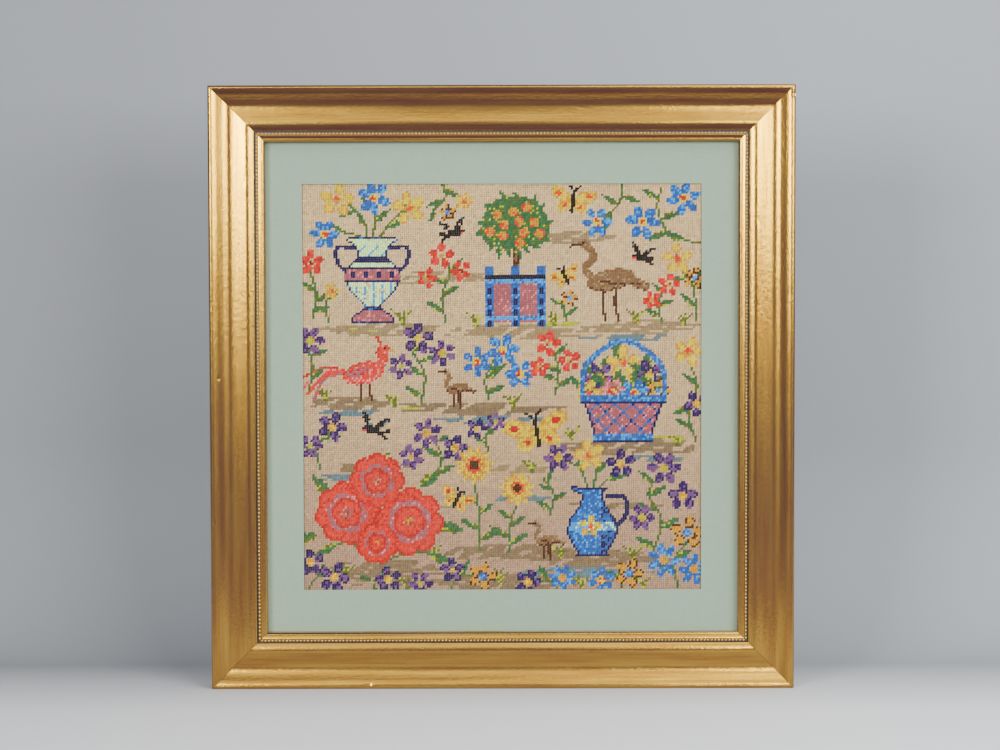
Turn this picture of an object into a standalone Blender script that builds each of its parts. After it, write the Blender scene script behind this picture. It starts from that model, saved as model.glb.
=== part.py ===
"""A square needlepoint panel in a window mount and a gilt moulding, standing on its lower rail.

Metres, +Z up. The face looks along -Y, X = 0 is the middle of the width, and Z = 0 is the underside.
Y = 0 is halfway between the back of the moulding and its highest crest.
"""
import math

import bmesh
import bpy
from mathutils import Matrix, Vector

MM = 0.001

# Driving dimensions
PANEL_WIDTH = 525.0 * MM
PANEL_HEIGHT = 542.5 * MM
FACE_WIDTH = 50.0 * MM
REBATE_WIDTH = 7.0 * MM
LIP_BACK = 11.5 * MM
STITCH = 25.4 * MM / 13
SEAT_GAP = 0.3 * MM
REBATE_CLEARANCE = 1.5 * MM

# The window in the mount, at its face, and the board it is cut from
WINDOW_WIDTH = 360.0 * MM
WINDOW_HEIGHT = 367.2 * MM
MOUNT_THICKNESS = 1.4 * MM

# The canvas is cut in whole stitches, wider than the window
CANVAS_STITCHES_ACROSS = 200
CANVAS_STITCHES_UP = 204
CANVAS_THICKNESS = 2.0 * MM
BOARD_THICKNESS = 3.0 * MM

# The moulding's section in millimetres: across from the outer edge, up from the back, the bulge of
# the stretch that leads there (a circular arc's height over its chord, plus is proud), and its steps
MOULDING = (
    (0.0, 0.0, 0.0, 1),
    (0.0, 27.5, 0.0, 1),
    (2.7, 29.7, 0.7, 8),
    (3.0, 29.6, 0.0, 1),
    (3.3, 29.8, 0.0, 1),
    (5.6, 29.1, 0.08, 3),
    (8.9, 27.31, 0.06, 3),
    (12.5, 25.16, -0.02, 2),
    (15.6, 23.83, -0.09, 4),
    (19.7, 23.18, -0.15, 5),
    (22.2, 23.27, -0.03, 2),
    (31.6, 24.55, -0.11, 6),
    (36.6, 24.33, 0.29, 8),
    (40.5, 22.69, 0.13, 4),
    (40.65, 20.2, 0.0, 1),
    (44.45, 20.2, 0.0, 1),
    (44.55, 21.95, 0.0, 1),
    (47.1, 21.0, 0.07, 4),
    (47.35, 20.85, 0.0, 1),
    (48.2, 20.93, 0.03, 2),
    (50.0, 19.4, 0.12, 4),
)

# The pearl run is a half-round strip in the channel beside the sight edge
PEARL_WIDTH = 2.4 * MM
PEARL_HEIGHT = 2.0 * MM
PEARL_CENTRE = 42.95 * MM
PEARL_SEAT = 20.2 * MM
PEARL_STEPS = 12

# Half of the gap in a mitre, measured along the rail
MITRE_RELIEF = SEAT_GAP / 2 * math.sqrt(2)
SMOOTH_ANGLE = math.radians(28)

# Each side's name and the way from its outer edge to the middle of the panel
SIDES = (
    ("bottom", Vector((0, 0, 1))),
    ("right", Vector((-1, 0, 0))),
    ("top", Vector((0, 0, -1))),
    ("left", Vector((1, 0, 0))),
)

# Name: base colour (linear), roughness, metallic
FINISHES = {
    "gilt": ((0.42, 0.235, 0.075), 0.38, 0.85),
    "mount_paper": ((0.42, 0.50, 0.43), 0.9, 0.0),
    "wool_canvas": ((0.55, 0.44, 0.34), 0.95, 0.0),
    "hardboard": ((0.18, 0.10, 0.055), 0.8, 0.0),
}


def clear_scene():
    for item in list(bpy.data.objects):
        bpy.data.objects.remove(item, do_unlink=True)


def finish(name):
    colour, roughness, metallic = FINISHES[name]
    material = bpy.data.materials.new(name)
    material.use_nodes = True
    shader = material.node_tree.nodes["Principled BSDF"]
    shader.inputs["Base Color"].default_value = (*colour, 1.0)
    shader.inputs["Roughness"].default_value = roughness
    shader.inputs["Metallic"].default_value = metallic
    return material


def arc(start, end, bulge, steps):
    """The points after start along a circular arc to end, bulging to the left of the way there."""
    chord = end - start
    if bulge == 0.0:
        return [end]
    normal = Vector((-chord.y, chord.x)).normalized()
    half = chord.length / 2
    radius = (half * half + bulge * bulge) / (2 * abs(bulge))
    side = math.copysign(1.0, bulge)
    centre = (start + end) / 2 + normal * (bulge - side * radius)
    first = math.atan2(start.y - centre.y, start.x - centre.x)
    sweep = -side * 4 * math.atan2(abs(bulge), half)
    angles = [first + sweep * i / steps for i in range(1, steps)]
    return [centre + radius * Vector((math.cos(a), math.sin(a))) for a in angles] + [end]


def moulding_section():
    """The moulding's outline, from the back's outer corner over the face and back by the rebate."""
    points = []
    for across, up, bulge, steps in MOULDING:
        end = Vector((across, up)) * MM
        points += arc(points[-1], end, bulge * MM, steps) if points else [end]
    rebate = FACE_WIDTH - REBATE_WIDTH
    points += [Vector((FACE_WIDTH, LIP_BACK)), Vector((rebate, LIP_BACK)), Vector((rebate, 0))]
    return points


def pearl_section():
    """A half-round on a flat base, which sits just over the floor of its channel."""
    base = PEARL_SEAT + SEAT_GAP
    angles = [math.pi * i / PEARL_STEPS for i in range(PEARL_STEPS + 1)]
    crown = [Vector((math.cos(a) * PEARL_WIDTH / 2, math.sin(a) * PEARL_HEIGHT)) for a in angles]
    return [Vector((PEARL_CENTRE, base)) + point for point in crown]


DEPTH = max(point.y for point in moulding_section())
BACK_PLANE = DEPTH / 2
CENTRE = Vector((0, 0, PANEL_HEIGHT / 2))


def outline_mesh(name, loops, thickness):
    """A closed plate from flat outlines: its face is at +Z and half of its thickness is below Z = 0."""
    curve = bpy.data.curves.new(name, "CURVE")
    curve.dimensions = "2D"
    curve.fill_mode = "BOTH"
    curve.extrude = thickness / 2
    for loop in loops:
        spline = curve.splines.new("POLY")
        spline.points.add(len(loop) - 1)
        for point, place in zip(spline.points, loop):
            point.co = (place[0], place[1], 0, 1)
        spline.use_cyclic_u = True
    guide = bpy.data.objects.new(name + "_outline", curve)
    bpy.context.scene.collection.objects.link(guide)
    bpy.context.view_layer.update()
    evaluated = guide.evaluated_get(bpy.context.evaluated_depsgraph_get())
    mesh = bpy.data.meshes.new_from_object(evaluated)
    bpy.data.objects.remove(guide, do_unlink=True)
    return mesh


def edit(mesh, change):
    """Welds a mesh's caps, runs change on its vertices and turns its faces out."""
    cage = bmesh.new()
    cage.from_mesh(mesh)
    bmesh.ops.remove_doubles(cage, verts=cage.verts, dist=0.01 * MM)
    for vertex in cage.verts:
        change(vertex)
    bmesh.ops.recalc_face_normals(cage, faces=cage.faces)
    cage.to_mesh(mesh)
    cage.free()


def place(name, mesh, collection, material, columns, location):
    """Puts a mesh in the collection, with its own axes along the given world directions."""
    piece = bpy.data.objects.new(name, mesh)
    collection.objects.link(piece)
    piece.location = location
    piece.rotation_euler = Matrix(columns).transposed().to_euler()
    mesh.materials.clear()
    mesh.materials.append(material)
    return piece


def mitred_length(name, section, length):
    """A section drawn out to a length, with both ends cut to a mitre that is shortest inside."""
    def cut(vertex):
        end = length / 2 - vertex.co.x - MITRE_RELIEF
        vertex.co.z = math.copysign(end, vertex.co.z)

    mesh = outline_mesh(name, [section], length)
    edit(mesh, cut)
    mesh.shade_smooth()
    mesh.set_sharp_from_angle(angle=SMOOTH_ANGLE)
    return mesh


def build_side(prefix, section, collection, material):
    """Four mitred lengths of one section around the panel."""
    front = Vector((0, -1, 0))
    for side, inward in SIDES:
        upright = inward.x != 0
        length, span = (PANEL_HEIGHT, PANEL_WIDTH) if upright else (PANEL_WIDTH, PANEL_HEIGHT)
        name = f"{prefix}_{side}"
        mesh = mitred_length(name, section, length)
        location = CENTRE - inward * span / 2 + Vector((0, BACK_PLANE, 0))
        place(name, mesh, collection, material, (inward, front, inward.cross(front)), location)


def rectangle(width, height):
    x, y = width / 2, height / 2
    return [(-x, -y), (x, -y), (x, y), (-x, y)]


def rebate_size():
    spare = 2 * (FACE_WIDTH - REBATE_WIDTH + REBATE_CLEARANCE)
    return PANEL_WIDTH - spare, PANEL_HEIGHT - spare


FLAT_AXES = (Vector((1, 0, 0)), Vector((0, 0, 1)), Vector((0, -1, 0)))


def place_flat(name, mesh, collection, material, face_height, thickness):
    """Stands a plate upright in the rebate, its face at a height over the back of the moulding."""
    location = CENTRE + Vector((0, BACK_PLANE - face_height + thickness / 2, 0))
    return place(name, mesh, collection, material, FLAT_AXES, location)


def build_mount(collection, face_height):
    """The window mount: its opening is cut on a slant that widens to the back, so the core is hidden."""
    def slant(vertex):
        inside = abs(vertex.co.x) < WINDOW_WIDTH / 2 + MM and abs(vertex.co.y) < WINDOW_HEIGHT / 2 + MM
        if inside and vertex.co.z < 0:
            vertex.co.x += math.copysign(MOUNT_THICKNESS, vertex.co.x)
            vertex.co.y += math.copysign(MOUNT_THICKNESS, vertex.co.y)

    loops = [rectangle(*rebate_size()), rectangle(WINDOW_WIDTH, WINDOW_HEIGHT)]
    mesh = outline_mesh("window_mount", loops, MOUNT_THICKNESS)
    edit(mesh, slant)
    place_flat("window_mount", mesh, collection, finish("mount_paper"), face_height, MOUNT_THICKNESS)


def build_plate(name, size, thickness, collection, material, face_height):
    cage = bmesh.new()
    bmesh.ops.create_cube(cage, size=1.0)
    bmesh.ops.scale(cage, vec=(*size, thickness), verts=cage.verts)
    mesh = bpy.data.meshes.new(name)
    cage.to_mesh(mesh)
    cage.free()
    place_flat(name, mesh, collection, material, face_height, thickness)


def build_panel():
    clear_scene()
    collection = bpy.data.collections.new("framed_needlepoint_panel")
    bpy.context.scene.collection.children.link(collection)

    build_side("rail", moulding_section(), collection, finish("gilt"))
    build_side("pearls", pearl_section(), collection, finish("gilt"))

    mount_face = LIP_BACK - SEAT_GAP
    canvas_face = mount_face - MOUNT_THICKNESS - SEAT_GAP
    board_face = canvas_face - CANVAS_THICKNESS - SEAT_GAP
    canvas_size = (CANVAS_STITCHES_ACROSS * STITCH, CANVAS_STITCHES_UP * STITCH)

    build_mount(collection, mount_face)
    build_plate("needlework", canvas_size, CANVAS_THICKNESS, collection, finish("wool_canvas"), canvas_face)
    build_plate("backing_board", rebate_size(), BOARD_THICKNESS, collection, finish("hardboard"), board_face)


build_panel()
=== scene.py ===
"""The looks of a square needlepoint panel in a green window mount and a gilt pearl moulding.

The moulding, the pearl runs and the stitches are made here at their real size; the mount and the board
behind the canvas are the frame's own solids in better materials. Lengths in the tables are millimetres.
"""

import math

import bpy
import numpy as np
from mathutils import Euler, Matrix, Vector


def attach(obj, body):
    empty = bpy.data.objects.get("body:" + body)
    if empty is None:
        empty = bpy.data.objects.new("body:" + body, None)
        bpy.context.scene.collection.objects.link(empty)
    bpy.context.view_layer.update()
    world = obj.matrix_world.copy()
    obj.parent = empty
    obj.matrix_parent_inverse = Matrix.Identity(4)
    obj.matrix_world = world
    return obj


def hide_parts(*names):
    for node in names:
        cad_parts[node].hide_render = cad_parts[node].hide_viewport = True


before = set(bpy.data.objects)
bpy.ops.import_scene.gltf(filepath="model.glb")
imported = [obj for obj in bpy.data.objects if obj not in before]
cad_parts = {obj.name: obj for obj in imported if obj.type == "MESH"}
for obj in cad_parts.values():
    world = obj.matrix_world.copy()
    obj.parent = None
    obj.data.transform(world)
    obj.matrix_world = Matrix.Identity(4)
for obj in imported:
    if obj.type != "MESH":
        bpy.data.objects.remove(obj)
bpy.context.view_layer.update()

MM = 0.001

# The panel and its moulding, as the solids have them
PANEL_WIDTH = 525.0
PANEL_HEIGHT = 542.5
BACK_PLANE = 14.9
FACE_WIDTH = 50.0
REBATE_EDGE = 43.0
LIP_BACK = 11.5
MITRE_RELIEF = 0.2121

# The moulding's section: across from the outer edge, up from the back, and how proud the stretch to
# there bulges
MOULDING = (
    (0.0, 0.0, 0.0),
    (0.0, 27.5, 0.0),
    (2.7, 29.7, 0.7),
    (3.0, 29.6, 0.0),
    (3.3, 29.8, 0.0),
    (5.6, 29.1, 0.08),
    (8.9, 27.31, 0.06),
    (12.5, 25.16, -0.02),
    (15.6, 23.83, -0.09),
    (19.7, 23.18, -0.15),
    (22.2, 23.27, -0.03),
    (31.6, 24.55, -0.11),
    (36.6, 24.33, 0.29),
    (40.5, 22.69, 0.13),
    (40.65, 20.2, 0.0),
    (44.45, 20.2, 0.0),
    (44.55, 21.95, 0.0),
    (47.1, 21.0, 0.07),
    (47.35, 20.85, 0.0),
    (48.2, 20.93, 0.03),
    (50.0, 19.4, 0.12),
)
# The channel for the pearl run, from wall to wall: its outer side is painted dark, partly toning wax and
# partly painted shade
CHANNEL = (40.6, 44.5)
# The mesh's step across the face and along the rail, and how far the gesso is out of flat
FACE_STEP = 0.55
RAIL_STEP = 4.0
GESSO_WAVE = 0.05

# Each side: the way in from its outer edge, its length, the panel's size across it, its pearls' least pitch
SIDES = {
    "bottom": (Vector((0, 0, 1)), PANEL_WIDTH, PANEL_HEIGHT, 3.2),
    "right": (Vector((-1, 0, 0)), PANEL_HEIGHT, PANEL_WIDTH, 3.3),
    "top": (Vector((0, 0, -1)), PANEL_WIDTH, PANEL_HEIGHT, 3.2),
    "left": (Vector((1, 0, 0)), PANEL_HEIGHT, PANEL_WIDTH, 3.45),
}

# Knocks that the moulding has taken: side, across, along from its middle, reach and depth
KNOCKS = (
    ("left", 31.5, 74.0, 1.1, 0.22),
    ("left", 8.0, -9.0, 1.0, 0.2),
    ("left", 32.0, -186.0, 1.1, 0.25),
    ("left", 3.4, 120.0, 1.2, 0.25),
    ("top", 4.0, 207.0, 1.3, 0.3),
    ("top", 4.2, 38.0, 1.1, 0.2),
    ("top", 20.4, -72.0, 0.9, 0.3),
    ("right", 1.4, 262.0, 1.8, 0.6),
    ("right", 32.5, 150.0, 1.1, 0.25),
    ("right", 36.0, -182.0, 1.0, 0.3),
    ("bottom", 4.2, -120.0, 1.2, 0.25),
    ("bottom", 18.6, 60.0, 1.1, 0.3),
)

# The pearl run
PEARL_CENTRE = 42.95
PEARL_BASE = 20.5
PEARL_HEIGHT = 2.0
PEARL_HALF_WIDTH = 1.2
PEARL_STRIP = 0.3

# The needlework: a 13-mesh canvas, worked a little past the window on every side
STITCH = 25.4 / 13
CANVAS_ACROSS = 200
CANVAS_UP = 204
WORKED_ACROSS = 188
WORKED_UP = 192
CANVAS_FRONT = 6.05
CANVAS_BACK = 7.4
STITCH_HEIGHT = 0.62
BANDS = 6


def srgb(code):
    """A colour's sRGB hex code as linear red, green, blue and alpha."""
    parts = [int(code[i:i + 2], 16) / 255 for i in (1, 3, 5)]
    return (*[p / 12.92 if p <= 0.04045 else ((p + 0.055) / 1.055) ** 2.4 for p in parts], 1.0)


def fill(node, values):
    """Sets a node's properties, and its sockets by name or number.

    A socket takes a number, a colour's sRGB hex code or another node's output, which is linked to it.
    A ramp's stops are places and codes by turns.
    """
    for key, value in values.items():
        if key == "stops":
            ramp = node.color_ramp.elements
            while len(ramp) < len(value) // 2:
                ramp.new(0.5)
            for stop, place, code in zip(ramp, value[::2], value[1::2]):
                stop.position = place
                stop.color = srgb(code)
        elif isinstance(key, str) and hasattr(node, key):
            setattr(node, key, value)
        elif isinstance(value, bpy.types.NodeSocket):
            node.id_data.links.new(value, node.inputs[key])
        else:
            node.inputs[key].default_value = srgb(value) if isinstance(value, str) else value


def add(tree, kind, values, give=0):
    """Adds a shader node with its settings and links, and gives one of its outputs."""
    node = tree.nodes.new("ShaderNode" + kind)
    fill(node, values)
    return node.outputs[give]


def surface(name, values):
    """A new material with one Principled shader, its constants set on the shader's own sockets."""
    material = bpy.data.materials.new(name)
    material.use_nodes = True
    shader = material.node_tree.nodes["Principled BSDF"]
    fill(shader, values)
    return material, material.node_tree, shader


# Materials

# How two colours are mixed, by a share in socket 0, from sockets 6 and 7 into output 2
BLEND = {"data_type": "RGBA"}
MULTIPLY = {"data_type": "RGBA", "blend_type": "MULTIPLY"}
# The range that most of a noise lies in
MIDDLE = {"From Min": 0.3, "From Max": 0.7}


def gilt_leaf(name, bloom, wear_and_highlight, through):
    """Toned metal leaf over yellow bole and gesso, burnished along the rail.

    The leaf gives a satin gold with streaks that run the rail's length. It is painted lighter on the
    crests, partly where handling has thinned the toning and partly as a painted highlight, and umber in
    the quirks and the channel, partly toning wax and partly painted shade. The bloom is the thin veil of
    old size over the leaf, which cools its darks. Where the crest share is full it shows the given crest
    colour, and the share called through says how far the metal itself has gone there.
    """
    veil = {"Sheen Weight": bloom, "Sheen Roughness": 1.0, "Sheen Tint": "#8A46C8"}
    material, tree, shader = surface(name, veil)
    lay = add(tree, "Attribute", {"attribute_name": "lay"}, "Vector")
    tone = add(tree, "Attribute", {"attribute_name": "tone"}, "Vector")
    rub_and_highlight, wax_and_shade, _ = add(tree, "SeparateXYZ", {0: tone}).node.outputs

    # millimetres across and along the rail, detail and roughness: streaks, clouds, specks and a mottle
    sizes = ((0.7, 50, 4.0, 0.6), (6, 90, 3.0, 0.5), (0.9, 1.6, 1.0, 0.5), (2.2, 4.5, 3.0, 0.6))
    patterns = []
    for across, along, detail, roughness in sizes:
        drawn = add(tree, "Mapping", {"Scale": (1 / across, 1 / along, 1 / across), "Vector": lay})
        noise = {"Scale": 1.0, "Detail": detail, "Roughness": roughness, "Vector": drawn}
        patterns.append(add(tree, "TexNoise", noise))
    streaks, clouds, specks, mottle = patterns

    gold = add(tree, "ValToRGB", {"stops": (0.32, "#9E7A1E", 0.52, "#AD8722", 0.72, "#B7922A"), 0: streaks})
    toning = add(tree, "ValToRGB", {"stops": (0.35, "#E6D8C4", 0.65, "#FFFFFF"), 0: clouds})
    pits = add(tree, "ValToRGB", {"stops": (0.24, "#6B4320", 0.31, "#FFFFFF"), 0: specks})
    leaf = add(tree, "Mix", {**MULTIPLY, 0: 1.0, 6: gold, 7: toning}, 2)
    # painted highlight: the crests are mixed towards the lighter crest colour, partly wear of the toning
    rubbed_and_highlit = add(tree, "Mix", {**BLEND, 0: rub_and_highlight, 6: leaf, 7: wear_and_highlight}, 2)
    # painted shade: the quirks and the channel are mixed towards umber, partly toning wax
    waxed_and_shaded = add(tree, "Mix", {**BLEND, 0: wax_and_shade, 6: rubbed_and_highlit, 7: "#2B1608"}, 2)
    pitted = add(tree, "Mix", {**MULTIPLY, 0: 0.7, 6: waxed_and_shaded, 7: pits}, 2)

    satin = {"From Min": 0.3, "From Max": 0.75, "To Min": 0.23, "To Max": 0.18}
    dull = add(tree, "MapRange", {0: streaks, **satin})
    rough = add(tree, "Math", {"operation": "MULTIPLY_ADD", 0: wax_and_shade, 1: 0.3, 2: dull})
    bare = add(tree, "Math", {"operation": "SUBTRACT", 0: 1.0, 1: wax_and_shade})
    kept = {"operation": "MULTIPLY_ADD", "use_clamp": True, 1: -through}
    metal = add(tree, "Math", {**kept, 0: rub_and_highlight, 2: bare})
    ridges = add(tree, "Bump", {"Strength": 0.25, "Distance": 0.00012, "Height": streaks})
    dents = add(tree, "Bump", {"Strength": 0.2, "Distance": 0.0002, "Height": specks, "Normal": ridges})
    uneven = add(tree, "Bump", {"Strength": 0.35, "Distance": 0.0003, "Height": mottle, "Normal": dents})
    fill(shader, {"Base Color": pitted, "Roughness": rough, "Metallic": metal, "Normal": uneven})
    return material


def along_rail(name, roughness, across, along, noise, stops):
    """A matt finish whose pattern, in millimetres across and along, is drawn out along the rail."""
    material, tree, shader = surface(name, {"Roughness": roughness})
    lay = add(tree, "Attribute", {"attribute_name": "lay"}, "Vector")
    drawn = add(tree, "Mapping", {"Scale": (1 / across, 1 / along, 1 / across), "Vector": lay})
    pattern = add(tree, "TexNoise", {"Scale": 1.0, "Vector": drawn, **noise})
    colour = add(tree, "ValToRGB", {"stops": stops, 0: pattern})
    bump = add(tree, "Bump", {"Strength": 0.3, "Distance": 0.0001, "Height": pattern})
    fill(shader, {"Base Color": colour, "Normal": bump})
    return material


def ochre_wash():
    """Water-based ochre paint on the moulding's outer side: matt, thin, and brushed along the rail."""
    return along_rail("ochre_wash", 0.7, 1.2, 60, {"Detail": 4.0}, (0.3, "#7A5528", 0.7, "#A97B3E"))


def bare_pine():
    """Planed pine, as the moulding's back and rebate are left: pale, with straight darker grain lines."""
    stops = (0.35, "#B98A58", 0.5, "#D8B583", 0.7, "#E3C698")
    return along_rail("bare_pine", 0.75, 3.2, 120, {"Detail": 5.0, "Distortion": 0.4}, stops)


def mount_paper():
    """Pale green mount board: matt paper with a faint linen grain."""
    material, tree, shader = surface("linen_mount_paper", {"Roughness": 0.88})
    place = add(tree, "TexCoord", {}, "Object")
    threads = []
    # the linen's threads are drawn 1.1 mm apart, coarser than real, so that they just show
    for scale in ((1 / 0.0011, 1, 1 / 0.014), (1 / 0.014, 1, 1 / 0.0011)):
        way = add(tree, "Mapping", {"Scale": scale, "Vector": place})
        threads.append(add(tree, "TexNoise", {"Scale": 1.0, "Detail": 2.0, "Vector": way}))
    linen = add(tree, "Math", {"operation": "ADD", 0: threads[0], 1: threads[1]})
    half = add(tree, "Math", {"operation": "MULTIPLY", 0: linen, 1: 0.5})
    paper = add(tree, "ValToRGB", {"stops": (0.35, "#728571", 0.65, "#798C79"), 0: half})
    bump = add(tree, "Bump", {"Strength": 0.3, "Distance": 0.0001, "Height": linen})
    fill(shader, {"Base Color": paper, "Normal": bump})
    return material


def tapestry_wool():
    """Three-ply tapestry wool: matt, with a soft nap, and the twist of its plies across each stitch."""
    soft = {"Roughness": 0.95, "Specular IOR Level": 0.15, "Sheen Weight": 0.01, "Sheen Roughness": 0.6}
    material, tree, shader = surface("tapestry_wool", soft)
    yarn = add(tree, "Attribute", {"attribute_name": "yarn"}, "Color")
    ply = add(tree, "Attribute", {"attribute_name": "ply"}, "Vector")
    # the plies cross a stitch about every half a millimetre
    waves = {"bands_direction": "DIAGONAL", "Scale": 0.9, "Distortion": 0.6, "Vector": ply}
    twist = add(tree, "TexWave", waves, "Fac")
    nap = add(tree, "TexNoise", {"Scale": 1.6, "Detail": 2.0, "Vector": ply})
    shade = add(tree, "MapRange", {0: nap, **MIDDLE, "To Min": 0.88, "To Max": 1.08})
    wool = add(tree, "Mix", {**MULTIPLY, 0: 1.0, 6: yarn, 7: shade}, 2)
    bump = add(tree, "Bump", {"Strength": 0.5, "Distance": 0.00015, "Height": twist})
    fill(shader, {"Base Color": wool, "Normal": bump})
    return material


def cotton_canvas():
    """Mono canvas of sized cotton: a grid of threads, one each way to a stitch, its tan painted dark brown
    as painted shade between the stitches, darkest in its holes.
    """
    material, tree, shader = surface("cotton_canvas", {"Roughness": 0.9})
    place = add(tree, "TexCoord", {}, "Object")
    weave = {"Scale": 2 * math.pi / (STITCH * MM) / 20, "Distortion": 0.3, "Vector": place}
    threads = [add(tree, "TexWave", {"bands_direction": way, **weave}, "Fac") for way in ("X", "Z")]
    cloth = add(tree, "Math", {"operation": "MAXIMUM", 0: threads[0], 1: threads[1]})
    # painted shade: the threads are painted dark brown, darkest in the holes, for the shade that lies
    # between the stitches
    cotton = add(tree, "ValToRGB", {"stops": (0.2, "#2E2319", 0.8, "#584531"), 0: cloth})
    bump = add(tree, "Bump", {"Strength": 0.6, "Distance": 0.0003, "Height": cloth})
    fill(shader, {"Base Color": cotton, "Normal": bump})
    return material


def hardboard():
    """Pressed wood-fibre board: matt brown, mottled with short darker and paler fibres."""
    material, tree, shader = surface("pressed_hardboard", {"Roughness": 0.78})
    place = add(tree, "TexCoord", {}, "Object")
    fibres = add(tree, "TexNoise", {"Scale": 420.0, "Detail": 5.0, "Distortion": 1.5, "Vector": place})
    mottle = add(tree, "TexNoise", {"Scale": 22.0, "Detail": 3.0, "Vector": place})
    board = add(tree, "ValToRGB", {"stops": (0.3, "#5E432C", 0.5, "#7A5A3D", 0.72, "#97755A"), 0: fibres})
    patch = add(tree, "MapRange", {0: mottle, **MIDDLE, "To Min": 0.86, "To Max": 1.06})
    brown = add(tree, "Mix", {**MULTIPLY, 0: 1.0, 6: board, 7: patch}, 2)
    bump = add(tree, "Bump", {"Strength": 0.35, "Distance": 0.0002, "Height": fibres})
    fill(shader, {"Base Color": brown, "Normal": bump})
    return material


def paper_with_painted_shade():
    """Background paper: matt, painted greyer where it turns up behind and darker towards the left as
    painted shade, and clear seen from its back.
    """
    material, tree, shader = surface("background_paper_with_painted_shade", {"Roughness": 0.9})
    place = add(tree, "SeparateXYZ", {0: add(tree, "TexCoord", {}, "Object")}).node.outputs
    # painted shade: pale on the flat, grey where the paper turns up behind, and darker towards the left
    back = add(tree, "MapRange", {0: place["Y"], "From Min": -0.12, "From Max": 0.12})
    right = add(tree, "MapRange", {0: place["X"], "From Min": -0.4, "From Max": 0.3})
    grey = add(tree, "Mix", {**BLEND, 0: right, 6: "#7C7F83", 7: "#898D92"}, 2)
    pale = add(tree, "Mix", {**BLEND, 0: right, 6: "#C1C3C6", 7: "#D0D2D5"}, 2)
    fill(shader, {"Base Color": add(tree, "Mix", {**BLEND, 0: back, 6: pale, 7: grey}, 2)})
    behind = add(tree, "NewGeometry", {}, "Backfacing")
    clear = add(tree, "BsdfTransparent", {})
    sheet = add(tree, "MixShader", {0: behind, 1: shader.outputs[0], 2: clear})
    fill(tree.nodes["Material Output"], {"Surface": sheet})
    return material


def table_top():
    """The dark matt table that the background paper lies on."""
    return surface("dark_table_top", {"Roughness": 0.9, "Base Color": "#54483F"})[0]


# Shapes

def make_piece(name, points, faces, materials):
    """A mesh piece in world metres, riding with the frame, with the given materials."""
    mesh = bpy.data.meshes.new(name)
    mesh.from_pydata(points, [], faces)
    for material in materials:
        mesh.materials.append(material)
    piece = bpy.data.objects.new(name, mesh)
    bpy.context.scene.collection.objects.link(piece)
    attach(piece, "root")
    return piece


def keep_values(mesh, name, kind, values):
    """Stores a value for each point: FLOAT_VECTOR for three numbers, FLOAT_COLOR for four."""
    layer = mesh.attributes.new(name, kind, "POINT")
    field = "color" if kind == "FLOAT_COLOR" else "vector"
    layer.data.foreach_set(field, np.asarray(values, np.float32).ravel())


def keep_map(mesh, places):
    """Stores a flat map of the surface, a place for each corner of each face."""
    layer = mesh.uv_layers.new(name="OFBake")
    layer.uv.foreach_set("vector", np.asarray(places, np.float32).ravel())


def corner_points(mesh):
    """The point that each corner of each face stands on."""
    corners = np.zeros(len(mesh.loops), np.int32)
    mesh.loops.foreach_get("vertex_index", corners)
    return corners


def on_side(side, across, along, up):
    """World points, in metres, from a side's own across, along and up in millimetres."""
    inward, _, span, _ = SIDES[side]
    front = Vector((0, -1, 0))
    axis = np.array(inward.cross(front))
    start = np.array([0, BACK_PLANE, PANEL_HEIGHT / 2]) - np.array(inward) * span / 2
    spread = [np.asarray(v, float)[..., None] for v in np.broadcast_arrays(across, along, up)]
    return (start + spread[0] * np.array(inward) + spread[1] * axis + spread[2] * np.array(front)) * MM


def arc(start, end, bulge, step):
    """The points after start on a circular arc to end, bulging to the left of the way there."""
    chord = end - start
    steps = max(1, math.ceil(chord.length / step))
    if bulge == 0.0:
        return [start.lerp(end, i / steps) for i in range(1, steps + 1)]
    normal = Vector((-chord.y, chord.x)).normalized()
    half = chord.length / 2
    radius = (half * half + bulge * bulge) / (2 * abs(bulge))
    side = math.copysign(1.0, bulge)
    centre = (start + end) / 2 + normal * (bulge - side * radius)
    first = math.atan2(start.y - centre.y, start.x - centre.x)
    sweep = -side * 4 * math.atan2(abs(bulge), half)
    angles = [first + sweep * i / steps for i in range(1, steps)]
    return [centre + radius * Vector((math.cos(a), math.sin(a))) for a in angles] + [end]


def moulding_section():
    """The moulding's outline and, for each stretch of it, its finish in moulding_finishes."""
    points, finishes = [Vector(MOULDING[0][:2])], []
    for i, (across, up, bulge) in enumerate(MOULDING[1:]):
        new = arc(points[-1], Vector((across, up)), bulge, FACE_STEP if i else 6.0)
        points += new
        finish = 3 if CHANNEL[0] < across < CHANNEL[1] else 0
        finishes += [finish if i else 1] * len(new)
    for place in ((FACE_WIDTH, LIP_BACK), (REBATE_EDGE, LIP_BACK), (REBATE_EDGE, 0.0)):
        points.append(Vector(place))
        finishes.append(0 if place[0] == FACE_WIDTH and place[1] == LIP_BACK else 2)
    return np.array([tuple(p) for p in points]), finishes + [2]


# How near the outline's turns add up, in millimetres, the turns that paint a crest fully lighter, partly
# wear and partly painted highlight, and a hollow fully darker, partly toning wax and partly painted shade,
# and the darkening that stays in a concave turn outside the channel
TURN_REACH = 0.6
FULL_RUB_AND_HIGHLIGHT = 1.6
FULL_WAX_AND_SHADE = 1.1
OPEN_WAX_AND_SHADE = 0.4


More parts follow.
